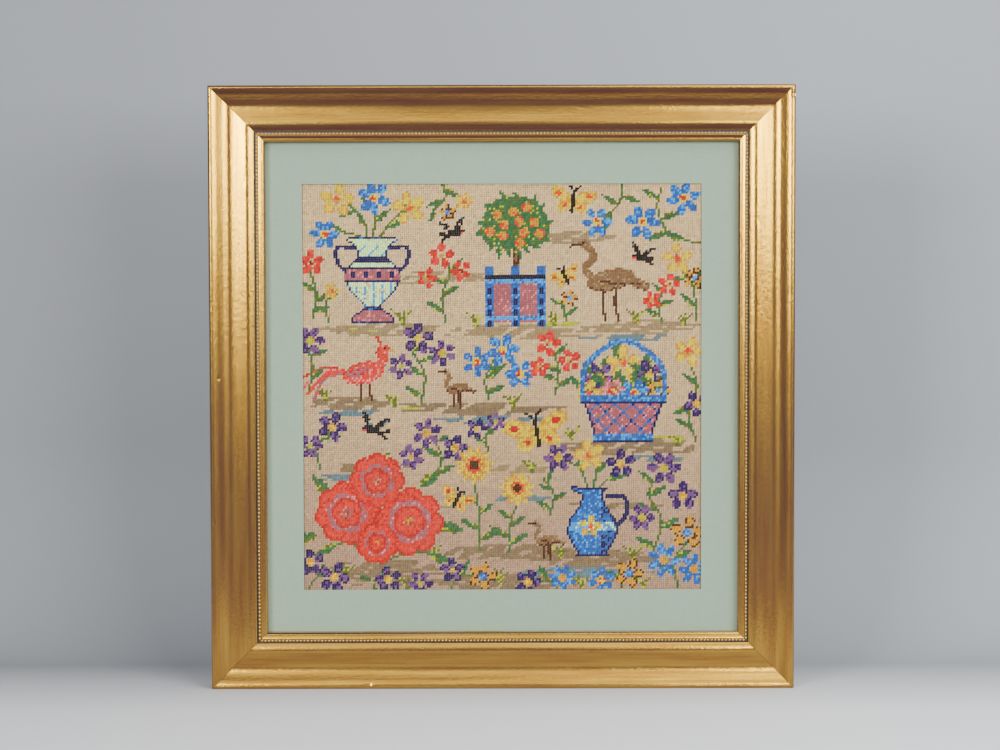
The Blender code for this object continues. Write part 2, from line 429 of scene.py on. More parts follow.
def toning(section):
    """How far each point of the section is painted towards the crest colour and towards umber, from how its
    outline turns near there: lighter on convex turns, partly wear and partly painted highlight, and darker
    in concave turns and the channel, partly toning wax and partly painted shade.
    """
    before = np.roll(section, 1, 0)
    after = np.roll(section, -1, 0)
    a, b = section - before, after - section
    turn = -np.arctan2(a[:, 0] * b[:, 1] - a[:, 1] * b[:, 0], (a * b).sum(1))
    run = np.cumsum(np.hypot(*a.T))
    near = np.exp(-(((run[:, None] - run[None, :]) / TURN_REACH) ** 2))
    bend = near @ turn
    channel = (section[:, 0] > CHANNEL[0]) & (section[:, 0] < CHANNEL[1])
    # painted shade: darkest at the channel's outer wall, paler towards the pearls, partly toning wax and
    # partly the painted shadow of the wall
    wax = np.interp(section[:, 0], (CHANNEL[0] + 1.6, CHANNEL[1] - 1.0), (1.0, 0.45))
    # painted shade in the concave turns, partly toning wax
    quirks = np.clip(-bend / FULL_WAX_AND_SHADE, 0, 1) * OPEN_WAX_AND_SHADE
    return np.clip(bend / FULL_RUB_AND_HIGHLIGHT, 0, 1), np.where(channel, wax, quirks)


def face_normals(section):
    along = np.roll(section, -1, 0) - np.roll(section, 1, 0)
    out = np.stack([-along[:, 1], along[:, 0]], 1)
    return out / np.linalg.norm(out, axis=1, keepdims=True)


def waves(along, across, seed):
    """Long and short unevenness of hand-sanded gesso, about -1 to 1."""
    hand = np.random.default_rng(seed)
    total = 0
    for length in (310, 170, 90, 47, 23):
        lean, start = hand.uniform(-0.02, 0.02), hand.uniform(0, 6.28)
        turn = 2 * math.pi * along / length + across * lean * 6 + start
        total = total + np.sin(turn) * (length / 310) ** 0.6
    return total / 2.2


def build_rail(side, finishes):
    """One mitred length of moulding, with its toning, its waves and the knocks it has taken."""
    _, length, _, _ = SIDES[side]
    section, stretch_finish = moulding_section()
    rub_and_highlight, wax_and_shade = toning(section)
    normals = face_normals(section)
    knocks = [k[1:] for k in KNOCKS if k[0] == side]
    half = length / 2
    stations = list(np.linspace(-half, half, int(length / RAIL_STEP) + 1))
    for across, along, reach, _ in knocks:
        stations += list(along + np.arange(-3, 4) * reach * 0.45)
    shares = np.clip(np.sort(stations) / half, -1, 1)
    across = section[None, :, 0].repeat(len(shares), 0)
    up = section[None, :, 1].repeat(len(shares), 0)
    along = shares[:, None] * (half - across - MITRE_RELIEF)
    on_face = (section[:, 1] > LIP_BACK + 1) & (section[:, 0] > 0.5)
    lift = GESSO_WAVE * waves(along, across, len(side)) * on_face
    for knock_across, knock_along, reach, depth in knocks:
        away = np.hypot(across - knock_across, (along - knock_along) * 0.8)
        lift = lift - depth * np.exp(-((away / reach) ** 2)) * on_face
    points = on_side(side, across + lift * normals[:, 0], along, up + lift * normals[:, 1]).reshape(-1, 3)
    count = len(section)
    faces, finish_of = [], []
    for i in range(len(shares) - 1):
        for j in range(count):
            k = (j + 1) % count
            faces.append((i * count + j, i * count + k, (i + 1) * count + k, (i + 1) * count + j))
            finish_of.append(stretch_finish[j])
    last = (len(shares) - 1) * count
    faces += [tuple(range(count))[::-1], tuple(range(last, last + count))]
    finish_of += [2, 2]
    piece = make_piece("moulding_" + side, points.tolist(), faces, finishes)
    mesh = piece.data
    mesh.polygons.foreach_set("material_index", finish_of)
    keep_values(mesh, "lay", "FLOAT_VECTOR", np.stack([across, along, up], -1))
    # the crest share is partly wear and partly painted highlight, the hollow share partly toning wax and
    # partly painted shade
    shape = np.broadcast_to(np.stack([rub_and_highlight, wax_and_shade, 0 * rub_and_highlight], 1), (len(shares), count, 3))
    keep_values(mesh, "tone", "FLOAT_VECTOR", shape)
    run = np.concatenate([[0], np.cumsum(np.hypot(*np.diff(np.vstack([section, section[:1]]), axis=0).T))])
    corners = corner_points(mesh)
    around = run[corners % count]
    wraps = np.zeros(len(corners), bool)
    quads = (len(shares) - 1) * count * 4
    closing = np.arange(quads).reshape(-1, 4)[count - 1::count]
    wraps[closing[:, 1:3].ravel()] = True
    around = np.where(wraps, run[-1], around)
    places = np.stack([along.reshape(-1)[corners] / length + 0.5, around / run[-1] * 0.7], 1)
    caps = np.arange(len(corners)) >= quads
    cap_points = section[corners[caps] % count]
    side_by_side = np.where(corners[caps] >= last, 0.5, 0.0)
    cap_across = cap_points[:, 0] / FACE_WIDTH * 0.4 + side_by_side
    places[caps] = np.stack([cap_across, 0.75 + cap_points[:, 1] / FACE_WIDTH * 0.4], 1)
    keep_map(mesh, places)
    mesh.shade_smooth()
    mesh.set_sharp_from_angle(angle=math.radians(40))
    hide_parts("rail_" + side)
    return piece


def build_pearls(side, finish):
    """A run of pressed pearls on its strip, each a little different from the next."""
    _, length, _, pitch = SIDES[side]
    hand = np.random.default_rng(100 + len(side))
    run = length - 2 * PEARL_CENTRE - 2 * MITRE_RELIEF
    count = int(run / pitch)
    levels, around = 4, 10
    dome = [(0.0, 0.0, 1.0)]
    for level in range(1, levels + 1):
        tilt = math.pi / 2 * level / levels
        for k in range(around):
            turn = 2 * math.pi * k / around
            dome.append((math.sin(tilt) * math.cos(turn), math.sin(tilt) * math.sin(turn), math.cos(tilt)))
    dome = np.array(dome)
    cap = [(0, 1 + k, 1 + (k + 1) % around) for k in range(around)]
    for level in range(levels - 1):
        near, far = 1 + level * around, 1 + (level + 1) * around
        cap += [(near + k, far + k, far + (k + 1) % around, near + (k + 1) % around) for k in range(around)]
    across, along, up, faces, places = [], [], [], [], []
    grid = math.ceil(math.sqrt(count))
    for i in range(count):
        middle = (i + 0.5 - count / 2) * run / count
        wide, tall, lean = hand.uniform(0.95, 1.0), hand.uniform(0.9, 1.0), hand.uniform(0.04, 0.12)
        base = PEARL_BASE + PEARL_STRIP * 0.6
        across.append(PEARL_CENTRE + dome[:, 0] * PEARL_HALF_WIDTH * wide)
        along.append(middle + (dome[:, 1] * 0.38 + dome[:, 0] * lean) * run / count)
        up.append(base + dome[:, 2] * (PEARL_HEIGHT + PEARL_BASE - base) * tall)
        faces += [tuple(i * len(dome) + v for v in face) for face in cap]
        cell = np.array([i % grid + 0.5, i // grid + 0.5])
        places.append((cell + dome[:, :2] * 0.46) / (grid + 2))
    half_strip = PEARL_HALF_WIDTH + 0.04
    top = PEARL_BASE + PEARL_STRIP
    strip = ((-half_strip, PEARL_BASE), (-half_strip, top), (half_strip, top), (half_strip, PEARL_BASE))
    for end in (-1, 1):
        for a, u in strip:
            across.append([PEARL_CENTRE + a])
            along.append([end * (length / 2 - PEARL_CENTRE - a - MITRE_RELIEF)])
            up.append([u])
            places.append([[0.5 + end * 0.45, 0.93 + 0.012 * (a > 0) + 0.02 * (u > PEARL_BASE)]])
    first = count * len(dome)
    faces += [(first + k, first + (k + 1) % 4, first + 4 + (k + 1) % 4, first + 4 + k) for k in range(4)]
    faces += [(first + 3, first + 2, first + 1, first), tuple(range(first + 4, first + 8))]
    across, along, up = (np.concatenate(v) for v in (across, along, up))
    points = on_side(side, across, along, up)
    piece = make_piece("pearl_run_" + side, points.tolist(), faces, [finish])
    mesh = piece.data
    height = (up - PEARL_BASE) / PEARL_HEIGHT
    keep_values(mesh, "lay", "FLOAT_VECTOR", np.stack([across, along, up], 1))
    inner = (across - PEARL_CENTRE) / PEARL_HALF_WIDTH
    # painted highlight: each pearl's crown is painted towards the pale crest colour, partly wear
    rub_and_highlight = np.clip(height * 2.2 - 1.0, 0, 1)
    # painted shade: each pearl is painted darker towards its foot and outer side, partly toning wax and
    # partly the shade that the channel wall and the next pearls cast there
    wax_and_shade = np.clip(1.3 - height * 1.9 - inner * 0.5, 0, 1)
    keep_values(mesh, "tone", "FLOAT_VECTOR", np.stack([rub_and_highlight, wax_and_shade, 0 * up], 1))
    keep_map(mesh, np.concatenate(places)[corner_points(mesh)])
    mesh.shade_smooth()
    mesh.set_sharp_from_angle(angle=math.radians(60))
    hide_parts("pearls_" + side)
    return piece


# The chart

# Each yarn's shades, as they differ within a hank
YARNS = {
    "ecru": ("#B5996E", "#AF946A", "#BB9F73"),
    "oatmeal": ("#7D6A48", "#796646", "#816D4B"),
    "fawn": ("#6A4D31", "#62472C", "#6E5033"),
    "taupe": ("#6C593F", "#65533B", "#6F5C41"),
    "rust": ("#3C2112", "#381E10", "#442716"),
    "sky": ("#2C7DBC", "#2775B2", "#3587C6"),
    "blue": ("#164A8C", "#144383", "#1B5399"),
    "navy": ("#14123E", "#11103A", "#181644"),
    "purple": ("#291348", "#251143", "#2F184F"),
    "lilac": ("#5C3A64", "#57365F", "#62406A"),
    "green": ("#28522F", "#244C2B", "#2D5A34"),
    "olive": ("#4A5417", "#454F15", "#515C1B"),
    "lime": ("#909812", "#8A9211", "#989F18"),
    "yellow": ("#BDA312", "#B69C11", "#C5AB18"),
    "gold": ("#AE7A12", "#A67411", "#B68216"),
    "orange": ("#BB1F12", "#B31C11", "#C32714"),
    "red": ("#A11412", "#981211", "#A91A15"),
    "crimson": ("#691214", "#641112", "#701618"),
    "coral": ("#B8281F", "#B1251D", "#C02F25"),
    "rose": ("#89484E", "#83444A", "#8E4D53"),
    "blush": ("#C66866", "#BF6361", "#CC6F6C"),
    "mint": ("#B4D68C", "#AED087", "#BADC92"),
    "ink": ("#131214", "#111012", "#151416"),
    "slate": ("#4C6267", "#475C61", "#51686D"),
}
YARN_NAMES = list(YARNS)

hand = np.random.default_rng(1907)
chart = np.zeros((WORKED_UP, WORKED_ACROSS), int)
row, column = np.mgrid[0:WORKED_UP, 0:WORKED_ACROSS] + 0.5


def some(share):
    """A share of all the stitches, picked at random."""
    return hand.random(chart.shape) < share


def work(where, yarn, fleck=None, share=0.3):
    """Stitches an area in one yarn, with a share of it flecked in another."""
    chart[where] = YARN_NAMES.index(yarn)
    if fleck:
        chart[where & some(share)] = YARN_NAMES.index(fleck)


def turned(x, y, degrees):
    """Each stitch's place from (x, y), along a direction and to its left; 0 is right and 90 is up."""
    cos, sin = math.cos(math.radians(degrees)), math.sin(math.radians(degrees))
    right, up = column - x, y - row
    return right * cos + up * sin, up * cos - right * sin


def oval(x, y, half_length, half_width, degrees=0):
    along, left = turned(x, y, degrees)
    return (along / half_length) ** 2 + (left / half_width) ** 2 <= 1


def block(left, top, right, bottom):
    return (column > left) & (column < right) & (row > top) & (row < bottom)


def rim(area):
    """The stitches of an area that have a neighbour outside it."""
    inner = area.copy()
    inner[1:] &= area[:-1]
    inner[:-1] &= area[1:]
    inner[:, 1:] &= area[:, :-1]
    inner[:, :-1] &= area[:, 1:]
    return area & ~inner


def smooth(points):
    """Places about half a stitch apart along a curve through the points."""
    knots = np.array([points[0], *points, points[-1]], float)
    places = []
    for a, b, c, d in zip(knots, knots[1:], knots[2:], knots[3:]):
        steps = max(2, int(np.hypot(*(c - b)) * 2))
        for t in np.arange(steps) / steps:
            bend = 2 * a - 5 * b + 4 * c - d + t * (3 * (b - c) + d - a)
            places.append(b + 0.5 * t * (c - a + t * bend))
    return np.array([*places, knots[-1]])


def line(points, width=1.2):
    """The stitches within half a width of a curve through the points."""
    near = np.zeros(chart.shape, bool)
    for x, y in smooth(points):
        near |= (column - x) ** 2 + (row - y) ** 2 <= (width / 2) ** 2
    return near


def upright(centre, profile):
    """An upright form from its profile of (row, half width), straight between them."""
    rows, halves = zip(*profile)
    return np.abs(column - centre) < np.interp(row, rows, halves, left=0, right=0)


def leaf(x, y, length, degrees, fat=0.2, flip=1):
    """A two-tone leaf from its stalk to its tip."""
    along, left = turned(x, y, degrees)
    share = np.clip(along / length, 0, 1)
    half = fat * length * np.sin(math.pi * share ** 0.8) ** 0.8 * (0.85 + 0.15 * np.cos(along * 2.2))
    inside = (along > 0) & (along < length) & (np.abs(left) <= half)
    work(inside, "green")
    work(inside & (left * flip > 0.2), "olive", "lime", 0.35)
    work(inside & (left * flip > 0.2) & (left * flip < 1.2) & (share > 0.5), "green")


# Each kind of flower: its petals and every other one's yarn, its eye, its heart, and how many petals
BLOOMS = {
    "blue": ("sky", "blue", "yellow", "red", 6),
    "yellow": ("yellow", "yellow", "gold", "orange", 5),
    "purple": ("purple", "lilac", "gold", "lime", 6),
    "violet": ("lilac", "purple", "gold", "yellow", 5),
    "red": ("red", "coral", "crimson", "gold", 5),
    "pink": ("rose", "blush", "red", "yellow", 6),
    "gold": ("gold", "gold", "blue", "sky", 5),
    "aster": ("sky", "blue", "gold", "gold", 7),
}
# The flowers whose petals are edged in another yarn
EDGES = {"gold": "rust", "violet": "navy", "yellow": "gold", "blue": "blue", "aster": "blue"}


def bloom(x, y, reach, kind, turn=20):
    """An open flower: petals in two yarns by turns, some kinds edged in a third, about an eye."""
    petal, other, eye, heart, petals = BLOOMS[kind]
    for i in range(petals):
        angle = turn + 360 * i / petals + hand.uniform(-7, 7)
        long, wide = 0.38 * hand.uniform(0.88, 1.06), (0.31, 0.26, 0.21)[petals - 5]
        away = reach * (1 - long)
        px, py = x + away * math.cos(math.radians(angle)), y - away * math.sin(math.radians(angle))
        area = oval(px, py, reach * long, max(reach * wide, 1.02), angle)
        if kind in EDGES:
            work(area, EDGES[kind])
            area &= ~rim(area) | some(0.4)
        work(area, (petal, other)[i % 2], (other, petal)[i % 2], 0.25)
        if petals < 7:
            vein = oval(px, py, reach * long, 0.55, angle) & some(0.6)
            work(vein, other, petal, 0.2)
    work(oval(x, y, reach * 0.26, reach * 0.26), eye, heart, 0.2)
    work(oval(x, y, max(reach * 0.1, 0.8), max(reach * 0.1, 0.8)), heart, eye, 0.3)


def sprig(stem, leaves=(), blooms=()):
    """A stem with its leaves and open flowers.

    A leaf is its place along the stem, its length, which is minus where it is turned over, and its
    degrees. A flower is its x and y, reach, kind and turn.
    """
    work(line(stem, 1.1), "green", "olive", 0.35)
    places = smooth(stem)
    for share, length, degrees in leaves:
        x, y = places[int(share * (len(places) - 1))]
        leaf(x, y, abs(length), degrees, 0.17, math.copysign(1, length))
    for x, y, reach, kind, turn in blooms:
        bloom(x, y, reach, kind, turn)


def ground(x, y, length, rows, yarn="oatmeal"):
    """Streaks of earth or water: rows broken into runs, thinner towards the top, bottom and ends."""
    for i in range(rows):
        share = 1 - abs(2 * (i + 0.5) / rows - 1) ** 1.6 * 0.7
        half = length / 2 * share * hand.uniform(0.75, 1.0)
        middle = x + hand.uniform(-0.12, 0.12) * length
        away = np.abs(column - middle) / half
        runs = np.sin(column * hand.uniform(0.16, 0.3) + hand.uniform(0, 6)) + np.sin(column * 0.61 + i)
        along = (away < 1) & (np.floor(row) == y + i) & (runs > 3.2 * away ** 4 - 1.1)
        work(along & (chart == 0), yarn)


def placed(x, y, size, facing):
    """Gives chart places from an animal's own, which face right and are measured in its size."""
    def at(*points):
        return [(x + facing * across * size, y - up * size) for across, up in points]

    return at


def wader(x, y, size, facing=1):
    """A long-necked wading bird in fawn, its feet at (x, y)."""
    at = placed(x, y, size, facing)
    work(line(at((0.06, 0.4), (0.1, 0.2), (0.06, 0)), 1.3), "rust")
    work(line(at((-0.08, 0.4), (-0.05, 0.2), (-0.1, 0)), 1.3), "rust")
    body = oval(*at((0, 0.48))[0], 0.3 * size, 0.13 * size, -facing * 12)
    body |= line(at((-0.2, 0.5), (-0.42, 0.4)), 0.11 * size)
    body |= line(at((0.2, 0.5), (0.3, 0.62), (0.2, 0.76), (0.28, 0.9)), 0.07 * size + 1)
    body |= oval(*at((0.31, 0.92))[0], 0.075 * size, 0.055 * size)
    work(body, "fawn", "oatmeal", 0.2)
    work(line(at((0.36, 0.92), (0.5, 0.89)), 1.1), "rust")
    work(line(at((0.12, 0.47), (-0.1, 0.43), (-0.36, 0.43)), 1.2), "rust", "fawn", 0.3)
    work(rim(body) & (row > at((0, 0.44))[0][1]), "rust", "fawn", 0.5)
    work(oval(*at((0.33, 0.94))[0], 0.7, 0.7), "ink")


def off_centre(x, y, size, degrees, along, left):
    angle = math.radians(degrees)
    return (x + (along * math.cos(angle) - left * math.sin(angle)) * size,
            y - (along * math.sin(angle) + left * math.cos(angle)) * size)


def butterfly(x, y, span, degrees=0, wing="yellow", spot="orange"):
    """A butterfly seen from above, its body across the given direction."""
    def off(along, left):
        return off_centre(x, y, span, degrees, along, left)

    for side in (-1, 1):
        upper = oval(*off(side * 0.27, 0.1), 0.27 * span, 0.14 * span, degrees + side * 24)
        lower = oval(*off(side * 0.18, -0.13), 0.17 * span, 0.12 * span, degrees - side * 30)
        work(upper | lower, wing, "gold", 0.3)
        work(rim(upper), "gold", wing, 0.3)
        work(oval(*off(side * 0.33, 0.12), 0.07 * span, 0.05 * span), spot)
        work(oval(*off(side * 0.17, -0.13), 0.05 * span, 0.04 * span), spot)
        work(line([off(0, 0.16), off(side * 0.06, 0.28), off(side * 0.13, 0.32)], 1.0), "ink")
    work(line([off(0, 0.17), off(0, -0.22)], 1.9), "ink")


def swallow(x, y, span, facing=1):
    """A small dark swallow on the wing, with a forked tail."""
    at = placed(x, y, span, facing)
    for across, up, length, degrees in ((-0.24, 0.14, 0.26, 150), (0.14, 0.24, 0.26, 62)):
        way = degrees if facing > 0 else 180 - degrees
        wing = oval(*at((across, up))[0], length * span, 0.085 * span, way)
        work(wing & some(0.9), "ink", "slate", 0.06)
    work(oval(*at((0.06, -0.02))[0], 0.25 * span, 0.1 * span, facing * 14), "ink", "navy", 0.12)
    work(line(at((-0.14, -0.08), (-0.42, -0.06)), 1.3), "ink")
    work(line(at((-0.14, -0.1), (-0.36, -0.26)), 1.3), "ink")
    work(oval(*at((0.22, -0.03))[0], 0.9, 0.8), "orange")


def urn(x, top):
    """A pale two-handled garden urn outlined in navy on a rose foot."""
    body = upright(x, [(top, 11), (top + 2, 12), (top + 4, 8), (top + 9, 7), (top + 14, 12), (top + 20, 13),
                       (top + 26, 10), (top + 31, 4), (top + 33, 4)])
    foot = upright(x, [(top + 33, 5), (top + 35, 7), (top + 37, 10), (top + 40, 10)])
    belt = np.abs(row - top - 17.5)
    for side in (-1, 1):
        handle = ((8, 5), (16, 5), (16, 12), (12, 16))
        work(line([(x + side * out, top + down) for out, down in handle], 2.0), "navy")
    work(body, "mint", "ecru", 0.1)
    work(foot, "rose", "blush", 0.15)
    work(body & (row > top + 21) & (np.floor(column - x) % 4 == 0), "sky", "mint", 0.25)
    work(body & (row > top + 4) & (row < top + 9) & (np.abs((column - x + row) % 6 - 3) < 0.6), "sky")
    work(rim(body) | rim(foot), "navy", "blue", 0.2)
    work(body & (np.abs(row - top - 10.5) < 1.1), "navy")
    work(body & (belt < 2.6), "rose", "blush", 0.2)
    work(body & (belt < 1.1) & (np.floor(column) % 6 < 2), "navy")
    work(body & (np.abs(belt - 3.2) < 0.6), "navy")


def tub(x, top, half, height):
    """A square garden tub: rose panels between blue posts with dark pegs."""
    work(block(x - half, top, x + half, top + height), "rose", "blush", 0.12)
    for share in (-1, 0, 1):
        middle = x + share * half
        post = block(middle - 1.9, top - 2, middle + 1.9, top + height + 2)
        work(post, "blue", "sky", 0.15)
        work(post & (np.abs(column - middle) < 0.9) & (np.floor(row) % 5 < 3), "navy")
        work(oval(middle, top - 4, 2.3, 2.3), "blue")
    for level in (top + 1, top + height - 2):
        work(block(x - half - 2, level - 1.4, x + half + 2, level + 1.4), "sky", "blue", 0.3)
    work(block(x - half - 2, top - 1.6, x + half + 2, top - 0.4), "ink", "navy", 0.3)


def golden_places(count, x, y, half_width, half_height, start):
    """Places spread evenly over an oval, each with its angle in degrees."""
    for i in range(count):
        angle = i * 2.4 + start
        away = math.sqrt((i + 0.5) / count)
        across, up = half_width * away * math.cos(angle), half_height * away * math.sin(angle)
        yield x + across, y - up, math.degrees(angle), i


def orange_tree(x, base):
    """A clipped fruit tree in its tub."""
    work(line([(x, base - 24), (x + 0.6, base - 32), (x, base - 40)], 3), "rust", "fawn", 0.35)
    crown = oval(x, base - 48, 15, 12.5) | oval(x - 8, base - 44, 8, 7) | oval(x + 8, base - 44, 8, 7)
    work(crown, "green", "olive", 0.12)
    for leaf_x, leaf_y, angle, i in golden_places(42, x, base - 47, 13.5, 11, 0):
        leaf(leaf_x, leaf_y, 6.5, angle + 30, 0.24, 1 if i % 2 else -1)
    for fruit_x, fruit_y, _, _ in golden_places(11, x, base - 47, 13, 10.5, 0.7):
        work(oval(fruit_x, fruit_y, 2.3, 2.2), "gold", "orange", 0.3)
    tub(x, base - 22, 12, 20)


def peony(x, y, reach, turn=0):
    """A full peony: rings of rounded petals, coral and rose by turns, edged in red and orange."""
    along, left = turned(x, y, turn)
    away, around = np.hypot(along, left), np.arctan2(left, along)
    for i, (share, petals) in enumerate(((1.0, 8), (0.74, 6), (0.48, 5), (0.26, 4))):
        edge = reach * share * (0.84 + 0.16 * np.abs(np.cos(petals * around / 2 + i * 1.1)) ** 0.6)
        work(away <= edge, ("coral", "rose")[i % 2], ("red", "blush")[i % 2], 0.12)
        work((away <= edge) & (away > edge - 1.3), ("red", "orange")[i % 2], "red", 0.15)
    work(away <= reach * 0.1, "gold", "red", 0.3)


def basket(x, top, half, height):
    """A flower basket: a blue rim, foot and handle about a rose lattice."""
    handle = [(x - half, top), (x - half * 0.9, top - height * 0.9), (x, top - height * 1.5),
              (x + half * 0.9, top - height * 0.9), (x + half, top)]
    work(line(handle, 2.6), "blue", "sky", 0.25)
    side = upright(x, [(top, half), (top + height, half * 0.68)])
    work(side, "rose", "blush", 0.15)
    lattice = (np.abs((column - x + row) % 8 - 4) < 0.9) | (np.abs((column - x - row) % 8 - 4) < 0.9)
    work(side & lattice, "blue", "navy", 0.2)
    work(rim(side), "navy")
    for level, reach in ((top, half + 1.5), (top + height, half * 0.68 + 1.5)):
        work(block(x - reach, level - 1.6, x + reach, level + 1.6), "blue", "sky", 0.3)
        work(block(x - reach, level + 0.5, x + reach, level + 1.6), "navy")


def jug(x, top):
    """A blue jug with a spout and handle."""
    work(line([(x + 7, top + 4), (x + 15, top + 5), (x + 15, top + 14), (x + 9, top + 19)], 2.2), "navy")
    body = upright(x, [(top, 7), (top + 3, 5), (top + 8, 6), (top + 15, 11), (top + 21, 12), (top + 27, 9),
                       (top + 30, 7), (top + 32, 9)])
    body |= line([(x - 5, top + 2), (x - 9, top)], 3)
    work(body, "blue", "sky", 0.25)
    work(body & (column > x + 4), "blue", "navy", 0.3)
    work(rim(body), "navy")
    work(body & (np.abs(row - top - 18) < 2) & ~rim(body), "sky", "mint", 0.3)
    bloom(x - 1, top + 18, 5.2, "yellow", 10)


def pheasant(x, y, size, facing=-1):
    """A pink bird with a long drooping tail, its feet at (x, y)."""
    at = placed(x, y, size, facing)
    work(line(at((0.0, 0.2), (0.02, 0)), 1.2), "rust")
    work(line(at((0.1, 0.2), (0.13, 0)), 1.2), "rust")
    body = oval(*at((0.04, 0.3))[0], 0.24 * size, 0.13 * size, facing * 14)
    body |= line(at((0.18, 0.34), (0.26, 0.46), (0.25, 0.54)), 0.13 * size)
    body |= oval(*at((0.27, 0.57))[0], 0.075 * size, 0.065 * size)
    work(body, "coral", "blush", 0.3)
    for i, yarn in enumerate(("red", "blush", "coral", "rose")):
        plume = at((-0.12, 0.3), (-0.4, 0.36 - 0.04 * i), (-0.72 + 0.06 * i, 0.22 - 0.08 * i))
        work(line(plume, 1.6), yarn, "coral", 0.2)
    work(rim(body) & some(0.5), "red")
    work(oval(*at((-0.02, 0.31))[0], 0.13 * size, 0.055 * size, facing * 20), "rose", "red", 0.3)
    work(line(at((0.33, 0.57), (0.4, 0.55)), 1.2), "gold")
    work(line(at((0.24, 0.64), (0.2, 0.72)), 1.4), "red")
    work(oval(*at((0.29, 0.59))[0], 0.7, 0.7), "ink")


def sunflower(x, base, height, reach, lean=0):
    """A tall flower with leaves all the way up."""
    stem = [(x, base), (x + lean * 0.3, base - height * 0.5), (x + lean, base - height + reach)]
    sprig(stem, [(0.2, 11, 30), (0.35, -11, 150), (0.55, 9, 35), (0.7, -8, 145)])
    along, left = turned(x + lean, base - height, 8)
    away = np.hypot(along, left)
    edge = reach * (0.86 + 0.14 * np.cos(11 * np.arctan2(left, along)))
    work(away <= edge, "yellow", "gold", 0.3)
    work((away <= edge) & (away > edge - 1.1), "gold", "yellow", 0.4)
    work(away <= reach * 0.42, "orange", "gold", 0.3)
    work(away <= reach * 0.25, "rust")


def tuft(x, y, height):
    """A few blades of grass from one root."""
    for lean in (-0.75, -0.3, 0.15, 0.6):
        tall = height * hand.uniform(0.6, 1.0)
        blade = [(x, y), (x + lean * tall * 0.35, y - tall * 0.55), (x + lean * tall, y - tall)]
        work(line(blade, 1.0), "olive", "lime", 0.35)


